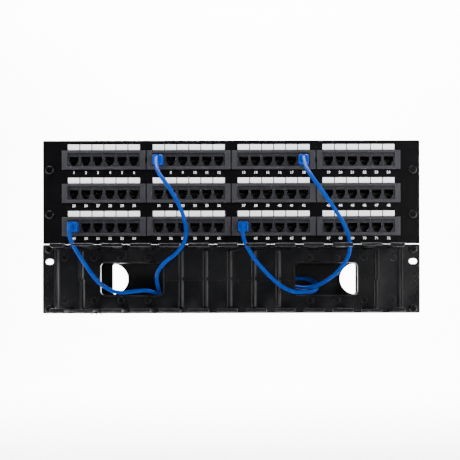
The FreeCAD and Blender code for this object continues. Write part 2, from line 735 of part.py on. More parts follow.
def root_block(x, side, width):
    """The wedge that a finger stands on, against the back wall."""
    start = -MANAGER_WALL
    outer = MANAGER_Z + side * FINGER_TOP_Z
    inner = outer - side * ROOT_BLOCK_HEIGHT
    front = start - ROOT_BLOCK_DEPTH
    outline = [(start, outer), (start, inner), (front, outer - side * FINGER_THICKNESS / 2), (front, outer)]
    return prism_x(outline, x - width / 2, x + width / 2)


def end_finger(x, side):
    """The finger at the end of a row, on the raised pad, with a head that tapers inwards."""
    start = -MANAGER_WALL
    outer = MANAGER_Z + side * FINGER_TOP_Z
    inner = outer - side * END_HEAD_HEIGHT
    head = prism_y([(x - END_HEAD_OUTER / 2, outer), (x + END_HEAD_OUTER / 2, outer),
                    (x + END_HEAD_INNER / 2, inner), (x - END_HEAD_INNER / 2, inner)],
                   start - FINGER_REACH, start - FINGER_REACH + HEAD_DEPTH)
    head = soften_front(head, SOFT_EDGE)
    thin = outer - side * FINGER_THICKNESS
    arm = box(x - END_ARM_WIDTH / 2, x + END_ARM_WIDTH / 2, start - FINGER_REACH + SINK, start,
              min(outer, thin), max(outer, thin))
    pad = box(x - END_ARM_WIDTH, x + END_ARM_WIDTH, start - PAD_RAISE, start + CUT_OVERRUN,
              MANAGER_Z - PAD_HEIGHT / 2, MANAGER_Z + PAD_HEIGHT / 2)
    return arm.fuse(head).cut(pad).removeSplitter()


def finger_row(side):
    last = FINGERS_EACH_SIDE
    pieces = [finger(x, side, OUTER_HEAD_HEIGHT) for x in mirrored([last * FINGER_PITCH])]
    pieces += [finger(number * FINGER_PITCH, side, HEAD_HEIGHT) for number in range(1 - last, last)]
    return pieces + [end_finger(x, side) for x in mirrored([END_FINGER_X])]


def rear_hole(side, y0, y1):
    """A half-round hole with its flat side outwards."""
    x, z, radius = side * REAR_HOLE_X, MANAGER_Z + REAR_HOLE_RAISE, REAR_HOLE_RADIUS
    inner = x - side * radius
    half = box(min(x, inner), max(x, inner), y0, y1, z - radius, z + radius)
    disc = cylinder_y(x, z, radius, y0, y1).common(half)
    corners = [e for e in edges_along(disc, V(0, 1, 0)) if abs(e.CenterOfMass.x - x) < NEAR]
    return disc.makeFillet(REAR_HOLE_CORNER, corners)


def rear_back_plate():
    half = REAR_HEIGHT / 2
    front = REAR_DEPTH - REAR_WALL
    plate = box(-REAR_HALF, REAR_HALF, front, REAR_DEPTH, MANAGER_Z - half, MANAGER_Z + half)
    holes = [rear_hole(side, front - CUT_OVERRUN, REAR_DEPTH + CUT_OVERRUN) for side in (-1, 1)]
    return plate.cut(holes)


def rear_shelf(side):
    """The slotted floor or ceiling of the rear duct, from the base's back to the rear plate."""
    outer = MANAGER_Z + side * REAR_HEIGHT / 2
    inner = outer - side * REAR_WALL
    low, high = min(outer, inner), max(outer, inner)
    shelf = box(-REAR_HALF, REAR_HALF, 0, REAR_DEPTH - REAR_WALL, low, high)
    middle = (REAR_DEPTH - REAR_WALL) / 2
    cuts = []
    for index in range(REAR_SLOTS):
        x = (index - (REAR_SLOTS - 1) / 2) * REAR_SLOT_PITCH
        slot = box(x - REAR_SLOT_LENGTH / 2, x + REAR_SLOT_LENGTH / 2,
                   middle - REAR_SLOT_WIDTH / 2, middle + REAR_SLOT_WIDTH / 2,
                   low - CUT_OVERRUN, high + CUT_OVERRUN)
        cuts.append(slot.makeFillet(REAR_SLOT_CORNER, edges_along(slot, V(0, 0, 1))))
    return shelf.cut(cuts)


def build_manager():
    save("manager_base", [manager_base()])
    save("top_fingers", finger_row(1))
    save("bottom_fingers", finger_row(-1))
    save("rear_plate", [rear_back_plate()])
    save("rear_ceiling", [rear_shelf(1)])
    save("rear_floor", [rear_shelf(-1)])
    screws = [rack_screw(x, MANAGER_Z + z, -MANAGER_EAR) for x in mirrored([HOLE_SPACING_X / 2])
              for z in mirrored([MANAGER_HOLE_Z])]
    save("manager_screws", screws)


# ---- patch cords ----
def plug_top(z):
    return z + SOCKET_TOP - PLUG_DROP


def plug(port):
    """The clear plug body, pushed home in its socket."""
    x, z = port_place(port)
    half = PLUG_WIDTH / 2
    top = plug_top(z)
    bottom = top - PLUG_HEIGHT
    outline = [(PLUG_BACK, bottom), (PLUG_NOSE - PLUG_LOW_CHAMFER, bottom),
               (PLUG_NOSE, bottom + PLUG_CHAMFER), (PLUG_NOSE, top - PLUG_CONTACT_FACE),
               (PLUG_NOSE - PLUG_CHAMFER, top), (PLUG_BACK, top)]
    return prism_x(outline, x - half, x + half)


def lever_pivot(port):
    """Where a latch lever bends: under the plug's nose. Also the hinge's place."""
    x, z = port_place(port)
    under = plug_top(z) - PLUG_HEIGHT - MOVING_GAP / 2
    return V(x, PLUG_NOSE - LEVER_SETBACK, under - LEVER_THICKNESS / 2)


def latch_lever(port):
    """The springy lever under a plug, wide in the socket and narrow outside it."""
    pivot = lever_pivot(port)
    half = LEVER_THICKNESS / 2
    outline = [(0, half), (0, -half), (-LEVER_LENGTH, -half), (-LEVER_LENGTH, half)]
    wide_end = JACK_FRONT + LEVER_FACE_GAP - pivot.y
    wide = [(0, half), (0, -half), (wide_end, -half), (wide_end, half)]
    tail = prism_x(outline, -LEVER_TAIL / 2, LEVER_TAIL / 2)
    lever = tail.fuse(prism_x(wide, -LEVER_SIDE / 2, LEVER_SIDE / 2)).removeSplitter()
    lever.rotate(V(0, 0, 0), V(1, 0, 0), LEVER_SLOPE)
    lever.translate(pivot)
    return lever


def boot(port):
    """The snagless boot: a hood round the plug's rear, and a tapered nozzle for the cord."""
    x, z = port_place(port)
    top = plug_top(z) + BOOT_ABOVE
    bottom = plug_top(z) - PLUG_HEIGHT - BOOT_BELOW
    hood = rounded_box_y(x - BOOT_WIDTH / 2, x + BOOT_WIDTH / 2, BOOT_FRONT, BOOT_BACK,
                         bottom, top, BOOT_EDGE)
    hood = soften_front(hood, BOOT_FRONT_EDGE)
    axis_z = plug_top(z) - PLUG_HEIGHT / 2
    nozzle = Part.makeCone(NOZZLE_TIP_RADIUS, NOZZLE_ROOT_RADIUS, NOZZLE_LENGTH + NOZZLE_SINK,
                           V(x, NOZZLE_END, axis_z), V(0, 1, 0))
    half = PLUG_WIDTH / 2 + SLIP_GAP / 2
    pocket = box(x - half, x + half, PLUG_BACK, BOOT_BACK + CUT_OVERRUN,
                 plug_top(z) - PLUG_HEIGHT - SLIP_GAP / 2, plug_top(z) + SLIP_GAP / 2)
    room = LEVER_TAIL / 2 + LEVER_ROOM
    under = box(x - room, x + room, BOOT_FRONT + BOOT_FRONT_WALL, BOOT_BACK + CUT_OVERRUN,
                bottom + BOOT_WALL, plug_top(z) - PLUG_HEIGHT)
    return hood.fuse(nozzle).cut([pocket, under]).removeSplitter()


def cord_points(ends, route):
    start, finish = [V(x, NOZZLE_END, plug_top(z) - PLUG_HEIGHT / 2) for x, z in map(port_place, ends)]
    lead = V(0, -CORD_LEAD, 0)
    return [start, start + lead] + [V(*point) for point in route] + [finish + lead, finish]


def bend_at(before, corner, after):
    """The arc that rounds a corner: its start, middle and end, and its radius."""
    back, ahead = before - corner, after - corner
    turn = math.pi - back.getAngle(ahead)
    shorter = min(back.Length, ahead.Length)
    reach = BEND_SHARE * shorter
    radius = reach / math.tan(turn / 2)
    back.normalize()
    ahead.normalize()
    inward = (back + ahead).normalize()
    middle = corner + inward * (radius / math.cos(turn / 2) - radius)
    return corner + back * reach, middle, corner + ahead * reach, radius


def cord_tube(name, ends, route):
    """Straight runs joined by tangent arcs, swept with the cord's round section."""
    points = cord_points(ends, route)
    path, place, radii = [], points[0], []
    for before, corner, after in zip(points, points[1:], points[2:]):
        start, middle, end, radius = bend_at(before, corner, after)
        path.append(Part.LineSegment(place, start).toShape())
        path.append(Part.Arc(start, middle, end).toShape())
        radii.append(round(radius, 1))
        place = end
    path.append(Part.LineSegment(place, points[-1]).toShape())
    spine = Part.Wire(path)
    heading = points[1] - points[0]
    circle = Part.Wire([Part.makeCircle(CORD_DIAMETER / 2, points[0], heading)])
    solid = spine.makePipeShell([circle], True, False, 2)
    expected = math.pi * (CORD_DIAMETER / 2) ** 2 * spine.Length
    runs = [round((b - a).Length, 1) for a, b in zip(points, points[1:])]
    print(name, "length", round(spine.Length, 1), "volume share", round(solid.Volume / expected, 4))
    print(name, "radii", radii)
    print(name, "runs", runs)
    return solid


def build_cords():
    for port in CORD_A_ENDS + CORD_B_ENDS:
        ending = "_port_%02d" % port
        save("plug" + ending, [plug(port)])
        save("latch_lever" + ending, [latch_lever(port)])
        save("boot" + ending, [boot(port)])
        print("lever pivot", port, lever_pivot(port))
    save("cord_a", [cord_tube("cord_a", CORD_A_ENDS, CORD_A_ROUTE)])
    save("cord_b", [cord_tube("cord_b", CORD_B_ENDS, CORD_B_ROUTE)])


os.makedirs("parts", exist_ok=True)
build_panel()
build_manager()
build_cords()
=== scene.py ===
"""Looks of the patch panel, its cable manager and its two patch cords, round the CAD frame.

Metres. X runs to the right seen from the front, -Y faces the viewer and Z is up.
"""

import json
import math

import bmesh
import bpy
from mathutils import Matrix, Vector


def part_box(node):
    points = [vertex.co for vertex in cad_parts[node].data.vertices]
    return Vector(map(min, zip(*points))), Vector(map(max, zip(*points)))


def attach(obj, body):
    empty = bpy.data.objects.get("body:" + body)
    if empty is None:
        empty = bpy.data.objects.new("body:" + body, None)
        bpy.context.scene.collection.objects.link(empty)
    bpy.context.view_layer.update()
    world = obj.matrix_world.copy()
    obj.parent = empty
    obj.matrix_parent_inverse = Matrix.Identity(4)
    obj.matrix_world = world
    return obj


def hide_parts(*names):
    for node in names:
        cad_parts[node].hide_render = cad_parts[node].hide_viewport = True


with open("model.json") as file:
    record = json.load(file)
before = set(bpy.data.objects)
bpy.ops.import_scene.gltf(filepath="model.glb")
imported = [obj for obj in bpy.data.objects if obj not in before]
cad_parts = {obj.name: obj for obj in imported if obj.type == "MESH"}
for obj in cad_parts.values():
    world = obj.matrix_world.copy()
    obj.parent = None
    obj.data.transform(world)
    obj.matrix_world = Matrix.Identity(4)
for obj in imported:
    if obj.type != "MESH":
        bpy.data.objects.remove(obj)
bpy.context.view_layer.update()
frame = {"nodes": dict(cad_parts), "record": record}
NODES = frame["nodes"]
ROOT = "panel_and_manager"
ROWS, MODULES, JACKS = 3, 4, 6
PLUGGED = (7, 49, 18, 61)
TOP_ROW_PLUGGED = (7, 18)
MM = 0.001


# ---- camera ----
def add_camera():
    data = bpy.data.cameras.new("camera")
    data.sensor_width = 36.0
    data.lens = 100.06
    data.shift_x = -0.1525
    data.shift_y = 0.1544
    data.clip_end = 20.0
    camera = bpy.data.objects.new("camera", data)
    camera.location = (0.088, -1.640, -0.1397)
    camera.rotation_euler = (math.pi / 2, 0.0019, 0)
    bpy.context.collection.objects.link(camera)
    bpy.context.scene.camera = camera


# ---- cords: the routes of the CAD tubes, nozzle to nozzle, drooping sooner at the boots ----
CORD_DIAMETER = 0.005
CORD_ROUNDNESS = 5
CORD_STEPS = 10
CORD_A = [
    (-0.09285, -0.0261, 0.04215), (-0.09285, -0.0325, 0.0405), (-0.0915, -0.0465, 0.0295),
    (-0.087, -0.060, 0.019), (-0.077, -0.065, 0.006), (-0.063, -0.063, -0.016),
    (-0.0535, -0.057, -0.041), (-0.0535, -0.050, -0.064), (-0.066, -0.042, -0.080),
    (-0.085, -0.029, -0.092), (-0.0955, -0.013, -0.106), (-0.0945, 0.004, -0.122),
    (-0.0925, 0.022, -0.138), (-0.090, 0.042, -0.1462), (-0.076, 0.057, -0.1462),
    (-0.055, 0.057, -0.1462), (-0.040, 0.042, -0.1462), (-0.040, 0.021, -0.1462),
    (-0.054, 0.007, -0.1462), (-0.075, 0.0055, -0.144), (-0.092, 0.007, -0.134),
    (-0.104, 0.001, -0.1255), (-0.120, -0.014, -0.1265), (-0.143, -0.028, -0.130),
    (-0.164, -0.038, -0.118), (-0.178, -0.046, -0.097), (-0.190, -0.051, -0.077),
    (-0.199, -0.0505, -0.061), (-0.20155, -0.0335, -0.0455), (-0.20155, -0.0261, -0.04305),
]
CORD_B = [
    (0.09285, -0.0261, 0.04215), (0.09285, -0.0325, 0.0405), (0.0945, -0.0465, 0.0295),
    (0.0995, -0.060, 0.019), (0.109, -0.066, 0.005), (0.126, -0.066, -0.019),
    (0.142, -0.061, -0.043), (0.151, -0.054, -0.066), (0.149, -0.046, -0.085),
    (0.136, -0.035, -0.103), (0.120, -0.020, -0.1155), (0.104, -0.004, -0.122),
    (0.088, 0.011, -0.123), (0.075, 0.026, -0.119), (0.070, 0.044, -0.113),
    (0.081, 0.057, -0.1095), (0.098, 0.057, -0.1095), (0.109, 0.044, -0.115),
    (0.111, 0.026, -0.124), (0.104, 0.010, -0.1283), (0.094, -0.005, -0.1282),
    (0.080, -0.015, -0.1286), (0.065, -0.022, -0.122), (0.049, -0.031, -0.108),
    (0.034, -0.040, -0.091), (0.0245, -0.048, -0.077), (0.017, -0.0505, -0.061),
    (0.01585, -0.0335, -0.0455), (0.01585, -0.0261, -0.04305),
]


def add_cord(name, node, points, material):
    """One patch cord between two ports, in place of its CAD tube."""
    curve = bpy.data.curves.new(name, "CURVE")
    curve.dimensions = "3D"
    curve.bevel_depth = CORD_DIAMETER / 2
    curve.bevel_resolution = CORD_ROUNDNESS
    curve.use_fill_caps = True
    curve.resolution_u = CORD_STEPS
    spline = curve.splines.new("NURBS")
    spline.points.add(len(points) - 1)
    for point, place in zip(spline.points, points):
        point.co = (*place, 1.0)
    spline.order_u = 3
    spline.use_endpoint_u = True
    curve.materials.append(material)
    cord = bpy.data.objects.new(name, curve)
    bpy.context.collection.objects.link(cord)
    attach(cord, ROOT)
    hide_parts(node)


# ---- materials ----
WAVES_PER_METRE = 20.0
CLEAR_IOR = 1.5
BOARD_DARK = (0.0008, 0.006, 0.003)
BOARD_LIGHT = (0.0012, 0.008, 0.0036)
BOARD_TRACK = (0.004, 0.02, 0.009)
TRACKS_PER_METRE = 160.0


def surface(name, dark, light, rough, patch=60.0, grain=1800.0, bump=0.15, depth=0.05,
            gloss=0.5, metallic=0.0, clear=1.0, wave=0.0):
    """A node material: colour mottled between two tones, uneven gloss and a fine grain.

    patch and grain are how often the mottling and the grain repeat in a metre.
    rough is the range of roughness, and gloss the strength of the reflection.
    bump is the strength of the grain. depth and wave are the heights in millimetres of the
    grain and of a moulded sheet's slow waviness.
    clear is 1 for an opaque material and less for one that light passes.
    """
    material = bpy.data.materials.new(name)
    material.use_nodes = True
    tree = material.node_tree
    nodes, links = tree.nodes, tree.links
    shader = nodes["Principled BSDF"]
    shader.inputs["Metallic"].default_value = metallic
    shader.inputs["Specular IOR Level"].default_value = gloss
    place = nodes.new("ShaderNodeTexCoord")
    mottle = nodes.new("ShaderNodeTexNoise")
    mottle.inputs["Scale"].default_value = patch
    mottle.inputs["Detail"].default_value = 6.0
    mottle.inputs["Roughness"].default_value = 0.6
    links.new(place.outputs["Object"], mottle.inputs["Vector"])
    tones = nodes.new("ShaderNodeValToRGB")
    tones.color_ramp.elements[0].position = 0.3
    tones.color_ramp.elements[0].color = (*dark, 1)
    tones.color_ramp.elements[1].position = 0.7
    tones.color_ramp.elements[1].color = (*light, 1)
    links.new(mottle.outputs["Fac"], tones.inputs["Fac"])
    links.new(tones.outputs["Color"], shader.inputs["Base Color"])
    fine = nodes.new("ShaderNodeTexNoise")
    fine.inputs["Scale"].default_value = grain
    fine.inputs["Detail"].default_value = 3.0
    links.new(place.outputs["Object"], fine.inputs["Vector"])
    sheen = nodes.new("ShaderNodeMapRange")
    sheen.inputs["To Min"].default_value = rough[0]
    sheen.inputs["To Max"].default_value = rough[1]
    links.new(fine.outputs["Fac"], sheen.inputs["Value"])
    links.new(sheen.outputs["Result"], shader.inputs["Roughness"])
    relief = nodes.new("ShaderNodeBump")
    relief.inputs["Strength"].default_value = bump
    relief.inputs["Distance"].default_value = depth * MM
    links.new(fine.outputs["Fac"], relief.inputs["Height"])
    links.new(relief.outputs["Normal"], shader.inputs["Normal"])
    if wave:
        slow = nodes.new("ShaderNodeTexNoise")
        slow.inputs["Scale"].default_value = WAVES_PER_METRE
        slow.inputs["Detail"].default_value = 1.0
        links.new(place.outputs["Object"], slow.inputs["Vector"])
        swell = nodes.new("ShaderNodeBump")
        swell.inputs["Distance"].default_value = wave * MM
        links.new(slow.outputs["Fac"], swell.inputs["Height"])
        links.new(swell.outputs["Normal"], relief.inputs["Normal"])
    if clear < 1.0:
        shader.inputs["Transmission Weight"].default_value = 1.0 - clear
        shader.inputs["IOR"].default_value = CLEAR_IOR
    return material


def board_material():
    """Nearly black green solder mask with lighter tracks under it."""
    material = surface("solder_mask", BOARD_DARK, BOARD_LIGHT, (0.25, 0.4), patch=200.0)
    tree = material.node_tree
    nodes, links = tree.nodes, tree.links
    place = nodes.new("ShaderNodeTexCoord")
    tracks = nodes.new("ShaderNodeTexBrick")
    tracks.inputs["Scale"].default_value = TRACKS_PER_METRE
    tracks.inputs["Mortar Size"].default_value = 0.03
    tracks.inputs["Color1"].default_value = (*BOARD_DARK, 1)
    tracks.inputs["Color2"].default_value = (*BOARD_LIGHT, 1)
    tracks.inputs["Mortar"].default_value = (*BOARD_TRACK, 1)
    turn = nodes.new("ShaderNodeMapping")
    turn.inputs["Rotation"].default_value = (math.pi / 2, 0, 0)
    links.new(place.outputs["Object"], turn.inputs["Vector"])
    links.new(turn.outputs["Vector"], tracks.inputs["Vector"])
    links.new(tracks.outputs["Color"], nodes["Principled BSDF"].inputs["Base Color"])
    return material


MATERIALS = {
    "panel_paint": surface(
        "powder_coat", (0.0003, 0.0003, 0.0006), (0.0009, 0.0009, 0.0014), (0.34, 0.44),
        grain=2600.0, bump=0.12, depth=0.03, gloss=0.08),
    "bezel_plastic": surface(
        "bezel_plastic", (0.0095, 0.0097, 0.0125), (0.015, 0.0153, 0.019), (0.42, 0.55), gloss=0.35),
    "jack_plastic": surface(
        "jack_plastic", (0.003, 0.0031, 0.005), (0.006, 0.0062, 0.0095), (0.4, 0.52), gloss=0.3),
    "insert_plastic": surface(
        "insert_plastic", (0.002, 0.002, 0.0022), (0.004, 0.004, 0.0044), (0.5, 0.6), gloss=0.2),
    "circuit_board": board_material(),
    "block_plastic": surface("block_plastic", (0.6, 0.59, 0.54), (0.7, 0.69, 0.64), (0.35, 0.5)),
    "label_card": surface(
        "label_card", (0.8, 0.8, 0.81), (0.86, 0.86, 0.865), (0.5, 0.7),
        patch=400.0, grain=5000.0, bump=0.2, depth=0.02),
    "screw_black": surface(
        "black_oxide", (0.0006, 0.0006, 0.0008), (0.0018, 0.0018, 0.0022), (0.2, 0.3), gloss=0.22),
    "manager_plastic": surface(
        "manager_plastic", (0.0003, 0.0004, 0.0008), (0.0014, 0.0015, 0.0024), (0.24, 0.34),
        patch=26.0, grain=1500.0, bump=0.08, gloss=0.25, wave=2.6),
    "clear_plastic": surface(
        "clear_plastic", (0.78, 0.82, 0.85), (0.86, 0.89, 0.92), (0.05, 0.12), bump=0.05, clear=0.15),
    "boot_blue": surface(
        "boot_blue", (0.0, 0.024, 0.2), (0.0005, 0.04, 0.31), (0.36, 0.48), gloss=0.1),
    "cord_blue": surface(
        "cord_blue", (0.0, 0.02, 0.15), (0.0004, 0.032, 0.235), (0.34, 0.44),
        patch=120.0, gloss=0.03),
}
GOLD = surface("gold_plating", (0.2, 0.12, 0.035), (0.3, 0.19, 0.06), (0.25, 0.4),
               metallic=1.0, bump=0.03)
TIN = surface("tinned_metal", (0.55, 0.56, 0.57), (0.68, 0.69, 0.7), (0.2, 0.35),
              metallic=1.0, bump=0.05)
INK_WHITE = surface("white_ink", (0.82, 0.82, 0.82), (0.9, 0.9, 0.9), (0.5, 0.6), patch=900.0)
INK_BLACK = surface("black_ink", (0.0006, 0.0006, 0.0008), (0.0016, 0.0016, 0.002), (0.6, 0.7),
                    patch=900.0, gloss=0.05)


def dress_frame():
    """Gives each CAD node its slot's material."""
    for part in frame["record"]["subparts"]:
        node = NODES[part["node"]]
        node.data.materials.clear()
        node.data.materials.append(MATERIALS[part["material_slot"]])


# ---- building pieces ----
CHAMFER_SHARE = 0.25  # of a small plate's least side
JACK_GAP = 0.0002  # between neighbouring jack housings


def finish_mesh(name, mesh, material, body=ROOT, smooth=False):
    """Turns a bmesh into a piece that rides on a body."""
    data = bpy.data.meshes.new(name)
    bmesh.ops.recalc_face_normals(mesh, faces=mesh.faces)
    mesh.to_mesh(data)
    mesh.free()
    data.materials.append(material)
    for face in data.polygons:
        face.use_smooth = smooth
    piece = bpy.data.objects.new(name, data)
    bpy.context.collection.objects.link(piece)
    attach(piece, body)
    return piece


def strip_along(mesh, path, width, thickness):
    """A flat strip of metal that follows a path in the Y-Z plane, its width along X."""
    rings = []
    for index, point in enumerate(path):
        before = path[max(index - 1, 0)]
        after = path[min(index + 1, len(path) - 1)]
        heading = (after - before).normalized()
        across = Vector((0, -heading.z, heading.y)) * (thickness / 2)
        side = Vector((width / 2, 0, 0))
        corners = [point - side - across, point + side - across,
                   point + side + across, point - side + across]
        rings.append([mesh.verts.new(corner) for corner in corners])
    for near, far in zip(rings, rings[1:]):
        for k in range(4):
            mesh.faces.new((near[k], near[(k + 1) % 4], far[(k + 1) % 4], far[k]))
    mesh.faces.new(reversed(rings[0]))
    mesh.faces.new(rings[-1])


def plate(mesh, x0, x1, y0, y1, z0, z1):
    """A small plate with its front edges chamfered."""
    cut = min(x1 - x0, z1 - z0, y1 - y0) * CHAMFER_SHARE
    rings = []
    for y, inset in ((y0, cut), (y0 + cut, 0.0), (y1, 0.0)):
        corners = [(x0 + inset, y, z0 + inset), (x1 - inset, y, z0 + inset),
                   (x1 - inset, y, z1 - inset), (x0 + inset, y, z1 - inset)]
        rings.append([mesh.verts.new(corner) for corner in corners])
    for near, far in zip(rings, rings[1:]):
        for k in range(4):
            mesh.faces.new((near[k], near[(k + 1) % 4], far[(k + 1) % 4], far[k]))
    mesh.faces.new(reversed(rings[0]))
    mesh.faces.new(rings[-1])


def jack_centres(row, column):
    """The X of each jack of a module, from its housings' box."""
    low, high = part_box("jacks_r%d_c%d" % (row + 1, column + 1))
    pitch = (high[0] - low[0] + JACK_GAP) / JACKS
    return [low[0] - JACK_GAP / 2 + pitch * (index + 0.5) for index in range(JACKS)]


def port_number(row, column, jack):
    return row * MODULES * JACKS + column * JACKS + jack + 1


# ---- jack contacts ----
CONTACTS = 8
CONTACT_PITCH = 0.00102
CONTACT_WIDTH = 0.00046
CONTACT_THICK = 0.0003
CONTACT_PATH = (  # from the tip back to the insert: Y from the insert's front, Z from its top
    (-0.0076, -0.0002), (-0.0068, -0.0006), (-0.002, -0.0029), (-0.0008, -0.0034), (0.0002, -0.0034),
)


def add_contacts(row):
    """Eight gilded springs in each empty socket, from under its top edge back to the insert."""
    mesh = bmesh.new()
    insert_low, insert_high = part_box("jack_inserts_row_%d" % (row + 1))
    top = insert_high[2]
    back = insert_low[1]
    path = [Vector((0, back + y, top + z)) for y, z in CONTACT_PATH]
    for column in range(MODULES):
        for jack, x in enumerate(jack_centres(row, column)):
            if port_number(row, column, jack) in PLUGGED:
                continue
            for index in range(CONTACTS):
                shift = Vector((x + (index - (CONTACTS - 1) / 2) * CONTACT_PITCH, 0, 0))
                strip_along(mesh, [point + shift for point in path], CONTACT_WIDTH, CONTACT_THICK)
    finish_mesh("contacts_row_%d" % (row + 1), mesh, GOLD)


# ---- moulded flares of the manager's back wall ----
MANAGER_Z = -0.111125
WALL_SHIFT = -0.0028
WALL_FACE = -0.003
PAD_FACE = -0.007
LIP_FRONT = -0.011
LIP_INNER = 0.2195
RIDGE_INNER = 0.1892
RIDGE_RISE = 0.0052
RIB_PITCH = 0.031
RIB_HALF = 0.0017
RIB_RISE = 0.002
FLARE_STEPS = 6
FLARE_SINK = 0.0002  # how far a foot reaches into the wall
RIB_FOOT = 0.0028
RIDGE_FOOT = 0.004
RIDGE_STEP = 0.00156  # the lower half of a ridge stands this much further in
LIP_FOOT = 0.0055
WALL_HALF = 0.036
LIP_HALF = 0.0375
SPLIT_HALF = 0.0005  # half the gap between a ridge's two halves
FOOT_SHARE = 0.9  # how far up a rib or ridge its foot climbs
LIP_SHARE = 0.95


def flare(mesh, x, way, rise, width, face, z0, z1):
    """A hollow-curved foot along an upright edge at x, spreading by width towards way."""
    outline = [(x, face + FLARE_SINK)]
    for step in range(FLARE_STEPS + 1):
        angle = step / FLARE_STEPS * math.pi / 2
        outline.append((x + way * width * (1 - math.cos(angle)),
                        face - rise * (1 - math.sin(angle))))
    outline.append((x + way * width, face + FLARE_SINK))
    rings = [[mesh.verts.new((px, py, z)) for px, py in outline] for z in (z0, z1)]
    count = len(outline)
    for k in range(count):
        after = (k + 1) % count
        mesh.faces.new((rings[0][k], rings[0][after], rings[1][after], rings[1][k]))
    mesh.faces.new(reversed(rings[0]))
    mesh.faces.new(rings[1])


def add_flares():
    """The curved feet of the ribs, of the pads' ridges and of the lips beside the ears."""
    mesh = bmesh.new()
    low, high = MANAGER_Z - WALL_HALF, MANAGER_Z + WALL_HALF
    for index in range(-2, 3):
        for side in (-1, 1):
            x = WALL_SHIFT + index * RIB_PITCH + side * RIB_HALF
            flare(mesh, x, side, RIB_RISE * FOOT_SHARE, RIB_FOOT, WALL_FACE, low, high)
    for side in (-1, 1):
        edge = WALL_SHIFT + side * RIDGE_INNER
        rise = RIDGE_RISE * FOOT_SHARE
        flare(mesh, edge, -side, rise, RIDGE_FOOT, WALL_FACE, MANAGER_Z + SPLIT_HALF, high)
        flare(mesh, edge - side * RIDGE_STEP, -side, rise, RIDGE_FOOT, WALL_FACE, low,
              MANAGER_Z - SPLIT_HALF)
        flare(mesh, WALL_SHIFT + side * LIP_INNER, -side, (PAD_FACE - LIP_FRONT) * LIP_SHARE,
              LIP_FOOT, PAD_FACE, MANAGER_Z - LIP_HALF, MANAGER_Z + LIP_HALF)
    finish_mesh("wall_flares", mesh, MATERIALS["manager_plastic"])


# ---- details behind the panel ----
COMB_SLOTS = 24
CLIP_WIDTH = 0.0005
CLIP_THICK = 0.0006
CLIP_REACH = 0.0062  # how far a clip stands out of its comb's root
COMB_HEIGHT = 0.0076
BLOCK_BASE = 0.006
CLIP_LIFT = 0.001  # of a clip's foot above its comb's root
CLIP_STAGGER = 0.0004  # in Z, between the two blades and the slot's middle
PIN_RADIUS = 0.0005
PIN_PITCH_Z = 0.00254
PIN_CLEARANCE = 0.0016  # from a block to the nearest line of joints
PINS_IN_LINE = 4


def comb_levels(row):
    """The lowest and highest Z of the two combs of a row's punch-down blocks."""
    low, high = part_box("punch_down_blocks_row_%d" % (row + 1))
    return (low[2], low[2] + COMB_HEIGHT), (high[2] - COMB_HEIGHT, high[2])


def add_clips(row):
    """The forked metal clips that grip the wires, two blades in every slot of each comb."""
    mesh = bmesh.new()
    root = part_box("punch_down_blocks_row_%d" % (row + 1))[0][1] + BLOCK_BASE + CLIP_LIFT
    for column in range(MODULES):
        centres = jack_centres(row, column)
        middle = (centres[0] + centres[-1]) / 2
        span = JACKS * (centres[1] - centres[0]) + JACK_GAP
        pitch = span / (COMB_SLOTS + 1)
        for low, high in comb_levels(row):
            level = (low + high) / 2
            for index in range(COMB_SLOTS):
                x = middle - span / 2 + (index + 1) * pitch
                for side in (-1, 1):
                    blade_x = x + side * CLIP_WIDTH
                    z0 = level + side * CLIP_STAGGER - CLIP_THICK / 2
                    plate(mesh, blade_x - CLIP_WIDTH / 2, blade_x + CLIP_WIDTH / 2,
                          root, root + CLIP_REACH, z0, z0 + CLIP_THICK)
    finish_mesh("punch_down_clips_row_%d" % (row + 1), mesh, TIN)


def add_solder(row):
    """Domed solder joints on each board's back, two staggered lines over and under a block."""
    mesh = bmesh.new()
    board_low, board_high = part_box("circuit_boards_row_%d" % (row + 1))
    block_low, block_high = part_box("punch_down_blocks_row_%d" % (row + 1))
    lines_z = [block_high[2] + PIN_CLEARANCE + k * PIN_PITCH_Z for k in range(2)]
    lines_z += [block_low[2] - PIN_CLEARANCE - k * PIN_PITCH_Z for k in range(2)]
    for column in range(MODULES):
        for x in jack_centres(row, column):
            for line, z in enumerate(lines_z):
                for index in range(PINS_IN_LINE):
                    shift = (index - (PINS_IN_LINE - 1) / 2) * 2 * CONTACT_PITCH
                    shift += (line % 2) * CONTACT_PITCH
                    dome = bmesh.ops.create_icosphere(mesh, subdivisions=1, radius=PIN_RADIUS)
                    bmesh.ops.translate(mesh, verts=dome["verts"], vec=(x + shift, board_high[1], z))
    finish_mesh("solder_joints_row_%d" % (row + 1), mesh, TIN, smooth=True)


# ---- boots ----
BOOT_RIBS = 5
NOZZLE_LENGTH = 0.009
NOZZLE_RADIUS = 0.0035  # at its tip
NOZZLE_SPREAD = 0.0009  # from its tip to its root
RIB_PROUD = 0.00035
RIB_THICK = 0.0008


def add_boot_ribs(port):
    """Thin rings round a boot's tapered nozzle, like those that let a real boot flex."""
    low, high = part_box("boot_port_%02d" % port)
    x = (low[0] + high[0]) / 2
    z = CORD_A[0][2] if port in TOP_ROW_PLUGGED else CORD_A[-1][2]
    mesh = bmesh.new()
    for index in range(BOOT_RIBS):
        share = (index + 0.7) / (BOOT_RIBS + 0.6)
        y = low[1] + share * NOZZLE_LENGTH
        radius = NOZZLE_RADIUS + share * NOZZLE_SPREAD + RIB_PROUD
        ring = bmesh.ops.create_cone(mesh, cap_ends=True, segments=28, radius1=radius, radius2=radius,
                                     depth=RIB_THICK, matrix=Matrix.Rotation(math.pi / 2, 4, "X"))
        bmesh.ops.translate(mesh, verts=ring["verts"], vec=(x, y, z))
    finish_mesh("boot_ribs_port_%02d" % port, mesh, MATERIALS["boot_blue"])


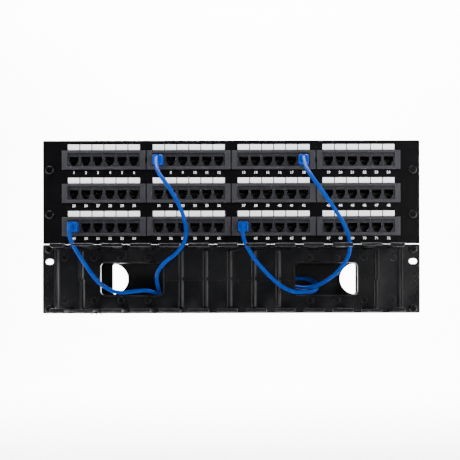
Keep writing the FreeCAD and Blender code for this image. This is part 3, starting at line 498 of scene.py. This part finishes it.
# ---- printing ----
NUMBER_HEIGHT = 0.0033
FONT_SIZE_PER_HEIGHT = 1.38
NUMBER_WEIGHT = 0.0001  # how much each stroke is fattened
RULE_WIDTH = 0.0013
NUMBER_Z = (0.02515, -0.01725, -0.05925)
INK_THICKNESS = 0.00004


def text_mesh(text, size):
    """The flat mesh of a line of figures, centred, in its own X-Y plane."""
    curve = bpy.data.curves.new("figures", "FONT")
    curve.body = text
    curve.size = size
    curve.align_x = "CENTER"
    curve.align_y = "CENTER"
    curve.resolution_u = 3
    curve.offset = NUMBER_WEIGHT
    holder = bpy.data.objects.new("figures", curve)
    bpy.context.collection.objects.link(holder)
    bpy.context.view_layer.update()
    graph = bpy.context.evaluated_depsgraph_get()
    mesh = bpy.data.meshes.new_from_object(holder.evaluated_get(graph))
    bpy.data.objects.remove(holder)
    return mesh


def add_numbers(row):
    """The port numbers printed on the plate under a row of bezels."""
    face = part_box("panel_plate")[0][1]
    mesh = bmesh.new()
    for column in range(MODULES):
        for jack, x in enumerate(jack_centres(row, column)):
            number = str(port_number(row, column, jack))
            figures = text_mesh(number, NUMBER_HEIGHT * FONT_SIZE_PER_HEIGHT)
            first = len(mesh.verts)
            mesh.from_mesh(figures)
            mesh.verts.ensure_lookup_table()
            for vert in mesh.verts[first:]:
                across, up = vert.co.x, vert.co.y
                vert.co = Vector((x + across, face - INK_THICKNESS, NUMBER_Z[row] + up))
            bpy.data.meshes.remove(figures)
    faces = mesh.faces[:]
    grown = bmesh.ops.extrude_face_region(mesh, geom=faces)
    moved = [item for item in grown["geom"] if isinstance(item, bmesh.types.BMVert)]
    bmesh.ops.translate(mesh, verts=moved, vec=(0, INK_THICKNESS * 0.9, 0))
    finish_mesh("port_numbers_row_%d" % (row + 1), mesh, INK_WHITE)


def add_label_lines(row):
    """The thin printed rules that part a label strip into one cell for each port."""
    low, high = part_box("label_strips_row_%d" % (row + 1))
    mesh = bmesh.new()
    half = RULE_WIDTH / 2
    for column in range(MODULES):
        centres = jack_centres(row, column)
        for left, right in zip(centres, centres[1:]):
            x = (left + right) / 2
            plate(mesh, x - half, x + half, low[1] - INK_THICKNESS, low[1], low[2], high[2])
    finish_mesh("label_rules_row_%d" % (row + 1), mesh, INK_BLACK)


# ---- stage ----
FLOOR_Z = -0.36
FLOOR_FRONT = -9.0
FLOOR_HALF_WIDTH = 4.0
WALL_Y = 2.8
WALL_TOP = 3.0
SWEEP_RADIUS = 0.9
SWEEP_STEPS = 12


def add_stage():
    """A pale floor that sweeps up into a wall behind the object."""
    mesh = bmesh.new()
    profile = [(FLOOR_FRONT, FLOOR_Z), (WALL_Y - SWEEP_RADIUS, FLOOR_Z)]
    for step in range(1, SWEEP_STEPS + 1):
        angle = step / SWEEP_STEPS * math.pi / 2
        profile.append((WALL_Y - SWEEP_RADIUS + SWEEP_RADIUS * math.sin(angle),
                        FLOOR_Z + SWEEP_RADIUS - SWEEP_RADIUS * math.cos(angle)))
    profile.append((WALL_Y, WALL_TOP))
    left, right = [[mesh.verts.new((x, y, z)) for y, z in profile]
                   for x in (-FLOOR_HALF_WIDTH, FLOOR_HALF_WIDTH)]
    for index in range(len(profile) - 1):
        mesh.faces.new((left[index], right[index], right[index + 1], left[index + 1]))
    data = bpy.data.meshes.new("floor")
    mesh.to_mesh(data)
    mesh.free()
    for face in data.polygons:
        face.use_smooth = True
    data.materials.append(surface("floor_paper", (0.86, 0.86, 0.86), (0.88, 0.88, 0.88), (0.8, 0.9),
                                  patch=4.0, grain=300.0, bump=0.05))
    floor = bpy.data.objects.new("floor", data)
    bpy.context.collection.objects.link(floor)


def add_light(name, place, size, power, target=(0, 0, -0.05)):
    """A soft rectangular light at place, turned towards target."""
    data = bpy.data.lights.new(name, "AREA")
    data.shape = "RECTANGLE"
    data.size, data.size_y = size
    data.energy = power
    light = bpy.data.objects.new(name, data)
    light.location = place
    light.rotation_euler = (Vector(target) - Vector(place)).to_track_quat("-Z", "Y").to_euler()
    bpy.context.collection.objects.link(light)


WORLD_STRENGTH = 0.06


def add_lights():
    add_light("key", (-0.7, -1.2, 1.7), (1.2, 0.9), 62.0)
    add_light("side", (1.5, -0.6, 0.3), (0.5, 1.2), 28.0)
    add_light("left_side", (-1.5, -0.5, 0.1), (0.5, 1.2), 21.0)
    add_light("glow", (0.95, -1.5, 0.0), (0.5, 0.9), 18.0, target=(0.3, 0, 0.02))
    add_light("top", (0.2, -0.2, 1.7), (1.6, 0.8), 25.0)
    add_light("wall", (0, 1.0, 1.9), (3.0, 0.8), 900.0, target=(0, WALL_Y, 0))
    world = bpy.data.worlds.new("world")
    world.use_nodes = True
    background = world.node_tree.nodes["Background"]
    background.inputs["Color"].default_value = (1, 1, 1, 1)
    background.inputs["Strength"].default_value = WORLD_STRENGTH
    bpy.context.scene.world = world


add_camera()
add_cord("patch_cord_a", "cord_a", CORD_A, MATERIALS["cord_blue"])
add_cord("patch_cord_b", "cord_b", CORD_B, MATERIALS["cord_blue"])
dress_frame()
for row_index in range(ROWS):
    add_contacts(row_index)
    add_numbers(row_index)
    add_label_lines(row_index)
    add_clips(row_index)
    add_solder(row_index)
for number in PLUGGED:
    add_boot_ribs(number)
add_flares()
add_stage()
add_lights()
